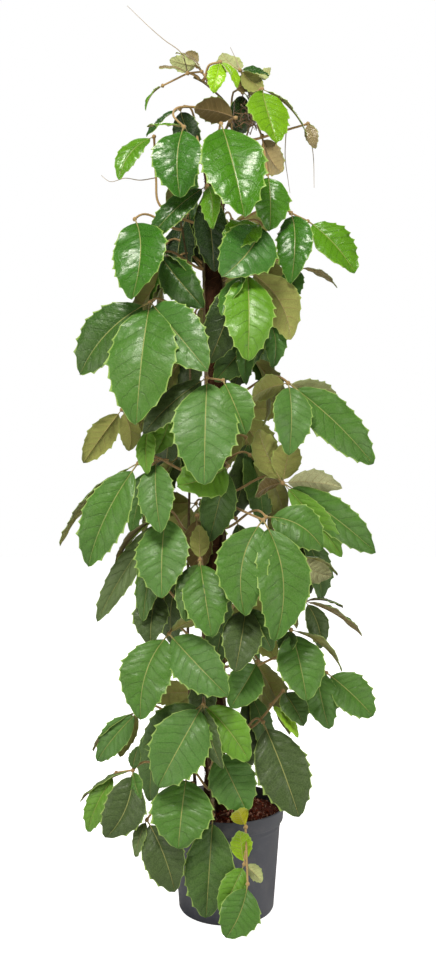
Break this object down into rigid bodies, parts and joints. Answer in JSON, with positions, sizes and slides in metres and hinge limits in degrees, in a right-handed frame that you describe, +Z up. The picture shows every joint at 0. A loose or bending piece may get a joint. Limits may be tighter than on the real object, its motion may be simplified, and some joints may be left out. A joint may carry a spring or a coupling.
{
  "type": "potted chestnut vine",
  "caption": "Tall climbing foliage plant with large toothed palmate leaves, trained up a coir pole in a round nursery pot filled with soil.",
  "frame": {"origin": "centre of the pot's flat base, on the surface that the pot stands on", "axes": "+Z up along the pole; -Y towards the front that the picture shows; +X to the right in the picture"},
  "size_m": [0.6365, 0.462, 1.8646],
  "materials": {
    "pot_plastic": "blue-grey injection-moulded plastic, satin",
    "potting_soil": "moist crumbly peat and bark",
    "coir": "rough dark brown coir fibre",
    "stem_bark": "brown downy young bark",
    "leaf": "thick glossy green leaf, felted olive-tan below"
  },
  "bodies": {
    "root": {"coir_pole": "coir", "leaf_01": "leaf", "leaf_02": "leaf", "leaf_03": "leaf", "leaf_04": "leaf", "leaf_05": "leaf", "leaf_06": "leaf", "leaf_07": "leaf", "leaf_08": "leaf", "leaf_09": "leaf", "leaf_11": "leaf", "leaf_12": "leaf", "leaf_13": "leaf", "leaf_14": "leaf", "leaf_15": "leaf", "leaf_16": "leaf", "leaf_17": "leaf", "leaf_18": "leaf", "leaf_19": "leaf", "leaf_20": "leaf", "leaf_21": "leaf", "leaf_22": "leaf", "leaf_23": "leaf", "leaf_24": "leaf", "leaf_25": "leaf", "leaf_26": "leaf", "leaf_27": "leaf", "leaf_28": "leaf", "leaf_29": "leaf", "leaf_30": "leaf", "leaf_31": "leaf", "leaf_32": "leaf", "leaf_33": "leaf", "leaf_34": "leaf", "leaf_35": "leaf", "leaf_36": "leaf", "leaf_37": "leaf", "leaf_38": "leaf", "leaf_39": "leaf", "leaf_40": "leaf", "leaf_41": "leaf", "leaf_42": "leaf", "leaf_43": "leaf", "leaf_44": "leaf", "leaf_45": "leaf", "leaf_46": "leaf", "leaf_47": "leaf", "leaf_48": "leaf", "leafy_stem_back": "leaf", "pot": "pot_plastic", "shoot_right": "leaf", "soil": "potting_soil", "stem_left": "stem_bark", "stem_left_outer": "stem_bark", "stem_right": "stem_bark"}
  },
  "joints": []
}
